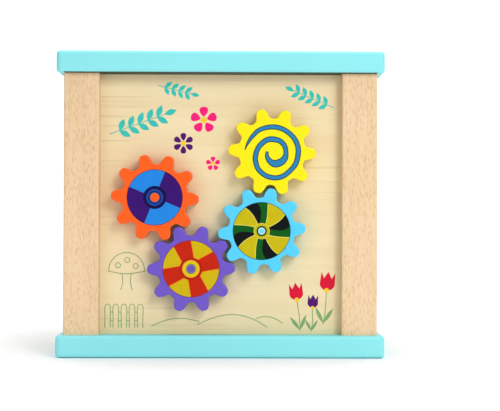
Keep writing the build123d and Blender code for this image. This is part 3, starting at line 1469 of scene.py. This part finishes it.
@dataclass
class PanelPicture:
    """Print on the front panel: sprigs and flowers above, a garden in thin lines below.

    A place is x and height on the panel. Shares are of a flower's reach, of the step between a
    sprig's leaves, of a tulip's head and of the fence's step or height.
    """

    around: Repeat
    along: Repeat
    band: Repeat
    line_width: float = 0.5
    line_steps: int = 6
    heart_share: float = 0.24
    heart_gap: float = 1.15
    petal_fill: float = 1.26
    leaf_share: float = 1.28
    leaf_slimness: float = 0.46
    leaf_angle: float = 48.0
    leaf_overlap: float = 0.2
    head_width: float = 0.8
    head_base: float = 0.13
    stem_share: float = 1.8
    stem_bend: float = 0.5
    blade_foot: float = 1.75
    blade_size: Point = (0.95, 0.2)
    blade_angles: Point = (62.0, 122.0)
    picket_share: float = 0.33
    picket_steps: int = 3
    rail_shares: Point = (0.3, 0.66)
    finishes: dict[str, bpy.types.Material] = field(default_factory=dict)

    def finish(self, ink: Ink) -> bpy.types.Material:
        """Look up the material of an ink, which is made once.

        Args:
            ink: the ink.

        Returns:
            The material.
        """
        if ink.name not in self.finishes:
            self.finishes[ink.name] = ink.material()
        return self.finishes[ink.name]

    def put(self, piece: bpy.types.Object, at: Point, angle: float = 0.0,
            layer: int = 0) -> None:
        """Lay a print on the panel and hand it over.

        Args:
            piece: the print, still lying.
            at: where its origin goes.
            angle: its turn in degrees.
            layer: how many prints lie under it, each half as thick where it is covered.
        """
        low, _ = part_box("gear_panel")
        front = low.y - layer * FILM_DEPTH / 2 * MM
        hang(piece, Vector((at[0] * MM, front, at[1] * MM)), angle)
        hand_over(piece, CASE, "plywood")

    def shapes(self, name: str, ink: Ink, at: Point, outlines: list[list[Vector]],
               angle: float = 0.0, layer: int = 0) -> None:
        """Print flat shapes of one ink.

        Args:
            name: the print's name.
            ink: its ink.
            at: where its origin goes.
            outlines: the corners of each shape.
            angle: its turn in degrees.
            layer: how many prints lie under it.
        """
        piece = new_object(name, film(name, outlines))
        dress(piece, self.finish(ink))
        self.put(piece, at, angle, layer)

    def lines(self, name: str, ink: Ink, at: Point, paths: list[list[Point]],
              angle: float = 0.0) -> None:
        """Print lines of one ink.

        Args:
            name: the print's name.
            ink: its ink.
            at: where its origin goes.
            paths: the points of each line.
            angle: its turn in degrees.
        """
        wide = [[(x, y, self.line_width) for x, y in path] for path in paths]
        piece = drawn(name, wide, self.band, self.finish(ink), self.line_steps)
        self.put(piece, at, angle, layer=1)

    def flower(self, name: str, ink: Ink, at: Point, petals: int, reach: float) -> None:
        """Print a flower: petals around a yellow heart.

        Args:
            name: the print's name.
            ink: ink of the petals.
            at: its middle.
            petals: how many there are.
            reach: from the middle to a petal's end.
        """
        heart = self.heart_share * reach
        width = self.petal_fill * math.pi * reach / petals
        one = petal(heart * self.heart_gap, reach - heart, width)
        piece = new_object(name, film(name, [one]))
        self.around.run(piece, self.finish(ink), count=petals)
        self.put(piece, at, 90)
        self.shapes(name + "_heart", SUN_INK, at, [circle(heart, 32)], layer=2)

    def sprig(self, name: str, at: Point, angle: float, length: float, pairs: int) -> None:
        """Print a sprig: leaf pairs along a thin stem, with a leaf at its end.

        Args:
            name: the print's name.
            at: the foot of its first leaves.
            angle: its direction in degrees.
            length: from there to its last leaf.
            pairs: how many pairs of leaves it has.
        """
        step = length / pairs
        size = self.leaf_share * step
        width = self.leaf_slimness * size
        pair = [leaf(size, width, side * self.leaf_angle) for side in (1, -1)]
        piece = new_object(name, film(name, pair))
        self.along.run(piece, self.finish(TEAL_INK), count=pairs, step=step * MM)
        self.put(piece, at, angle)
        end = Vector((length - self.leaf_overlap * step, 0))
        self.shapes(name + "_end", TEAL_INK, at, [[p + end for p in leaf(size, width, 0)]], angle)
        stem = [(-step, 0), (length / 2, 0), (length, 0)]
        self.lines(name + "_stem", TEAL_INK, at, [stem], angle)

    def tulip(self, name: str, ink: Ink, at: Point, lean: float, size: float) -> None:
        """Print a tulip with a thin stem and two leaves.

        Args:
            name: the print's name.
            ink: ink of its head.
            at: the foot of its head.
            lean: its turn in degrees.
            size: height of its head.
        """
        base = self.head_base * size
        self.shapes(name, ink, at, [tulip_head(self.head_width * size, size)], lean)
        self.shapes(name + "_base", SUN_INK, at, [circle(base, 24)], lean, layer=2)
        stem = [(0, -base), (self.stem_bend, -size), (0, -self.stem_share * size)]
        self.lines(name + "_stem", LINE_INK, at, [stem], lean)
        foot = Vector((0, -self.blade_foot * size))
        length, width = (share * size for share in self.blade_size)
        blades = [[foot + p for p in leaf(length, width, turn)] for turn in self.blade_angles]
        self.shapes(name + "_leaves", LINE_INK, at, blades, lean)

    def fence(self, at: Point, count: int, step: float, height: float) -> None:
        """Print the outlines of a row of pickets, and its two rails.

        Args:
            at: the foot of the first picket.
            count: how many pickets there are.
            step: from one to the next.
            height: of each.
        """
        half = self.picket_share * step
        top = height - half
        outline = [(-half, 0), (-half, top / 2), (-half, top), (0, height), (half, top),
                   (half, top / 2), (half, 0)]
        picket = [(x, y, self.line_width) for x, y in outline]
        finish = self.finish(LINE_INK)
        piece = drawn("fence", [picket], self.band, finish, self.picket_steps)
        self.along.run(piece, finish, count=count, step=step * MM)
        self.put(piece, at)
        rails = [[(step * i + half, share * height), (step * (i + 1) - half, share * height)]
                 for i in range(count - 1) for share in self.rail_shares]
        self.lines("fence_rails", LINE_INK, at, rails)

    def toadstool(self, at: Point, width: float, height: float) -> None:
        """Print a toadstool in thin lines.

        Args:
            at: the middle of its foot.
            width: of its cap.
            height: of the whole.
        """
        spot = (0.07, 0.07 * width / height)
        spots = [arc(spot, middle, 0, 2, 8) for middle in ((-0.24, 0.66), (0.02, 0.8), (0.25, 0.64))]
        cap = arc((0.5, 0.5), (0, 0.5), 0, 1, 12)
        brim = [(-0.5, 0.5), (0, 0.43), (0.5, 0.5)]
        sides = [[(side * 0.13, 0.44), (side * 0.11, 0.2), (side * 0.16, 0)] for side in (-1, 1)]
        paths = [[(x * width, y * height) for x, y in path] for path in (cap, brim, *sides, *spots)]
        self.lines("toadstool", LINE_INK, at, paths)

    def build(self) -> None:
        """Print the whole picture."""
        self.sprig("sprig_left", (-65, 144), 20, 32, 5)
        self.sprig("sprig_middle", (-36, 172), -14, 18, 4)
        self.sprig("sprig_right", (68, 161), 157, 24, 5)
        self.flower("flower_pink", PINK_INK, (-11, 151), 5, 8.2)
        self.flower("flower_violet", VIOLET_INK, (-24, 136), 6, 6.4)
        self.flower("flower_small", PINK_INK, (-5, 123), 5, 4.4)
        self.tulip("tulip_red", RED_INK, (49, 36), 6, 11)
        self.tulip("tulip_violet", VIOLET_INK, (59, 31), -3, 8.4)
        self.tulip("tulip_tall", RED_INK, (68, 42), -6, 12)
        self.fence((-72, 18), 5, 5.2, 15)
        self.toadstool((-60, 42), 23, 24)
        hills = [[(-44, 19), (-34, 23), (-24, 24), (-13.5, 22)],
                 [(-15, 20), (-4, 24.5), (8, 26.5), (20, 24), (30, 18.5)],
                 [(23, 24), (28, 25.2), (34, 24.4), (40, 21)]]
        self.lines("hills", LINE_INK, (0, 0), hills)


# ------------------------------------------------------------------ screws
@dataclass
class BaseScrews:
    """Four countersunk wood screws with cross recesses, driven up into the posts."""

    node: str = "base_screws"
    head_radius: float = 4.0
    head_bevel: float = 0.15
    bevel_height: float = 0.12
    head_rim: float = 0.25
    head_depth: float = 2.4
    shank_radius: float = 2.0
    point_radius: float = 0.15
    point_length: float = 5.0
    recess_length: float = 4.6
    recess_width: float = 1.0
    recess_depth: float = 1.7
    recess_taper: float = 0.5
    blade_overshoot: float = 0.5
    blade_flare: float = 1.12
    blade_turns: tuple[float, ...] = (20.0, 110.0)
    corners: int = 40
    hard_angle: float = 30.0

    def blank(self, length: float) -> bpy.types.Mesh:
        """Make a screw without its recess, with its head at height 0 and its point up.

        Args:
            length: from head to point.

        Returns:
            The closed mesh.
        """
        profile = [(self.head_radius - self.head_bevel, 0), (self.head_radius, self.bevel_height),
                   (self.head_radius, self.head_rim), (self.shank_radius, self.head_depth),
                   (self.shank_radius, length - self.point_length), (self.point_radius, length)]
        shape = bmesh.new()
        rings = [[shape.verts.new((p.x * MM, p.y * MM, height * MM))
                  for p in circle(radius, self.corners)] for radius, height in profile]
        for lower, upper in zip(rings, rings[1:]):
            for i in range(self.corners):
                shape.faces.new((lower[i - 1], lower[i], upper[i], upper[i - 1]))
        shape.faces.new(list(reversed(rings[0])))
        shape.faces.new(rings[-1])
        return mesh_of(shape, "screw")

    def blade(self, turn: float) -> bpy.types.Mesh:
        """Make the cutter of one slot of the cross recess, which narrows upwards.

        Args:
            turn: the slot's direction in degrees.

        Returns:
            The closed mesh.
        """
        ends = ((-self.blade_overshoot, self.blade_flare), (self.recess_depth, self.recess_taper))
        shape = bmesh.new()
        corners = [shape.verts.new((x * share * self.recess_length / 2 * MM,
                                    y * share * self.recess_width / 2 * MM, height * MM))
                   for height, share in ends for x, y in ((-1, -1), (1, -1), (1, 1), (-1, 1))]
        shape.faces.new(corners[3::-1])
        shape.faces.new(corners[4:])
        for i in range(4):
            after = (i + 1) % 4
            shape.faces.new((corners[i], corners[after], corners[after + 4], corners[i + 4]))
        mesh = mesh_of(shape, "blade")
        mesh.transform(Matrix.Rotation(math.radians(turn), 4, "Z"))
        return mesh

    def build(self, corners: Repeat) -> None:
        """Make the screws and hand them over.

        Args:
            corners: the tree that puts one on each corner.
        """
        low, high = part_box(self.node)
        piece = new_object("steel_" + self.node, self.blank((high.z - low.z) / MM))
        for turn in self.blade_turns:
            cutter = new_object("blade", self.blade(turn))
            cut = piece.modifiers.new("recess", "BOOLEAN")
            cut.operation = "DIFFERENCE"
            cut.solver = "EXACT"
            cut.object = cutter
            settle(piece)
            bpy.data.objects.remove(cutter)
        head = 2 * self.head_radius * MM
        corners.run(piece, STEEL.material(), span_x=high.x - low.x - head,
                    span_y=high.y - low.y - head)
        piece.data.transform(Matrix.Translation(((low.x + high.x) / 2, (low.y + high.y) / 2, low.z)))
        smooth(piece, self.hard_angle)
        hand_over(piece, CASE, "screw_steel", self.node)


# ------------------------------------------------------------------ box
@dataclass
class Case:
    """Boards, posts, panels and what fastens them."""

    # Insets from the board's edges, and reach above and below its underside, in millimetres, of the
    # painted shade.
    painted_shade_inset_x: float = 5.0
    painted_shade_inset_y: float = 1.0
    painted_shade_reach: float = 0.5
    posts: tuple[str, ...] = ("post_front_left", "post_front_right", "post_back_left",
                              "post_back_right")

    def top_paint_with_painted_shade(self) -> Paint:
        """Return the top board's paint, with dark shade painted on its underside where the posts and
        panels meet it.
        """
        low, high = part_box("top_board")
        edge = Vector((self.painted_shade_inset_x, self.painted_shade_inset_y, 0)) * MM
        reach = Vector((0, 0, self.painted_shade_reach)) * MM
        return replace(AQUA, name=AQUA.name + "_with_painted_shade", painted_shade_low=low + edge - reach,
                       painted_shade_high=Vector((high.x, high.y, low.z)) - edge + reach)

    def renew(self, node: str, prefix: str, material: bpy.types.Material, slot: str) -> None:
        """Put a smoother copy in the place of a node with rounded edges.

        Args:
            node: the node's name.
            prefix: what comes before it in the copy's name.
            material: the copy's finish.
            slot: the record's name of that finish.
        """
        piece = welded_copy(node, prefix + node)
        dress(piece, material)
        smooth(piece)
        hand_over(piece, CASE, slot, node)

    def build(self) -> None:
        """Renew the boards and posts, and dress the nodes that stay."""
        self.renew("top_board", "painted_", self.top_paint_with_painted_shade().material(), "aqua_paint")
        self.renew("bottom_board", "painted_", AQUA.material(), "aqua_paint")
        beech = BEECH.material()
        for post in self.posts:
            self.renew(post, "varnished_", beech, "beech")
        pegs = [kind + colour for colour in WHEEL_PAINTS for kind in ("axle_peg_", "spacer_")]
        for wood, nodes in ((PLY_X, ("gear_panel", "back_panel")),
                            (PLY_Y, ("left_panel", "right_panel")),
                            (DOWEL_Z, ("post_dowels",)), (DOWEL_Y, pegs)):
            material = wood.material()
            for node in nodes:
                dress(frame["nodes"][node], material)


# ------------------------------------------------------------------ studio
@dataclass(frozen=True)
class Lamp:
    """Square soft light, in metres and watts, that looks at its target."""

    name: str
    place: Place
    target: Place
    size: float
    power: float

    def build(self) -> None:
        """Add the light."""
        data = bpy.data.lights.new(self.name, "AREA")
        data.shape = "SQUARE"
        data.size = self.size
        data.energy = self.power
        lamp = new_object(self.name, data)
        lamp.location = self.place
        lamp.rotation_mode = "QUATERNION"
        ahead = Vector(self.target) - Vector(self.place)
        lamp.rotation_quaternion = ahead.to_track_quat("-Z", "Y")


BOX_FRONT: Place = (0, -0.09, 0.1)
LAMPS = (
    Lamp("key", (0.6, -1.2, 0.75), BOX_FRONT, 0.5, 7.8),
    Lamp("low_right", (1.1, -1.25, 0.2), BOX_FRONT, 0.8, 3.9),
    Lamp("low_left", (-1.05, -1.35, 0.15), BOX_FRONT, 0.8, 4.2),
    Lamp("top", (0, -0.2, 1.8), (0, -0.1, 0), 1.4, 9.5),
    Lamp("wall", (0, 0.2, 1.3), (0, 1.0, 0.4), 1.2, 12),
)


@dataclass
class Studio:
    """Camera, soft lights and a white sweep behind and below the box.

    The lens and the sensor are in millimetres and the angles in radians.
    """

    camera_place: Place = (0.010362, -0.864, 0.088046)
    yaw: float = 0.01091
    pitch: float = 0.01068
    roll: float = 0.00301
    lens: float = 86.84
    sensor: float = 36.0
    nearest: float = 0.01
    farthest: float = 20.0
    sweep_front: float = -1.4
    sweep_back: float = 1.0
    sweep_round: float = 0.7
    sweep_height: float = 3.0
    sweep_half_width: float = 1.5
    sweep_drop: float = 0.0002
    sweep_steps: int = 16
    sweep_roughness: float = 0.75
    sweep_stain: Noise = Noise(3)
    sweep_colours: tuple[Colour, Colour] = ((0.86, 0.87, 0.89, 1.0), (0.9, 0.905, 0.92, 1.0))
    room_colour: Colour = (0.97, 0.985, 1.0, 1.0)
    room_light: float = 0.32

    def camera(self) -> None:
        """Add the camera."""
        data = bpy.data.cameras.new("camera")
        data.sensor_fit = "HORIZONTAL"
        data.sensor_width = self.sensor
        data.lens = self.lens
        data.clip_start = self.nearest
        data.clip_end = self.farthest
        ahead = Vector((math.sin(self.yaw) * math.cos(self.pitch),
                        math.cos(self.yaw) * math.cos(self.pitch), math.sin(self.pitch)))
        right = ahead.cross(Vector((0, 0, 1))).normalized()
        up = right.cross(ahead)
        tilted_right = right * math.cos(self.roll) + up * math.sin(self.roll)
        tilted_up = up * math.cos(self.roll) - right * math.sin(self.roll)
        turn = Matrix((tilted_right, tilted_up, -ahead)).transposed().to_4x4()
        made = new_object("camera", data)
        made.matrix_world = Matrix.Translation(self.camera_place) @ turn
        bpy.context.scene.camera = made

    def sweep(self) -> None:
        """Add the floor, which curves up into a wall."""
        bend = self.sweep_back - self.sweep_round
        profile = [(self.sweep_front, 0.0), (bend, 0.0)]
        for step in range(1, self.sweep_steps + 1):
            angle = math.pi / 2 * step / self.sweep_steps
            profile.append((bend + self.sweep_round * math.sin(angle),
                            self.sweep_round * (1 - math.cos(angle))))
        profile.append((self.sweep_back, self.sweep_height))
        vertices = [(side * self.sweep_half_width, y, z - self.sweep_drop)
                    for y, z in profile for side in (-1, 1)]
        faces = [(2 * i, 2 * i + 1, 2 * i + 3, 2 * i + 2) for i in range(len(profile) - 1)]
        mesh = bpy.data.meshes.new("sweep")
        mesh.from_pydata(vertices, [], faces)
        mesh.shade_smooth()
        floor = new_object("sweep", mesh)
        graph = new_material("sweep")
        colour = graph.mix(graph.pattern(self.sweep_stain), *self.sweep_colours)
        dress(floor, surface(graph, colour, self.sweep_roughness, None))

    def room(self) -> None:
        """Add the even light of the room, which the camera sees as white."""
        world = bpy.data.worlds.new("room")
        world.use_nodes = True
        world.node_tree.nodes.clear()
        graph = Graph(world.node_tree)
        seen = graph.add("ShaderNodeLightPath", output="Is Camera Ray")
        strength = self.room_light + seen * (1 - self.room_light)
        shader = graph.add("ShaderNodeBackground", {},
                           {"Color": self.room_colour, "Strength": strength})
        graph.add("ShaderNodeOutputWorld", {}, {"Surface": shader})
        bpy.context.scene.world = world
        bpy.context.scene.view_settings.view_transform = "Standard"

    def build(self) -> None:
        """Add everything."""
        self.camera()
        self.sweep()
        for lamp in LAMPS:
            lamp.build()
        self.room()


def main() -> None:
    """Build the studio, the case, the panel's picture and the wheels."""
    logging.basicConfig(level=logging.INFO, format="%(name)s: %(message)s")
    Studio().build()
    Case().build()
    BaseScrews().build(on_corners())
    around = around_axis()
    band = ribbon()
    PanelPicture(around, along_line(), band).build()
    for colour, paint in WHEEL_PAINTS.items():
        wheel = Wheel(colour)
        wheel.build(around, paint.material())
        WheelFace(colour).build(band, wheel.body, wheel.centre())


if __name__ == "__main__":
    main()
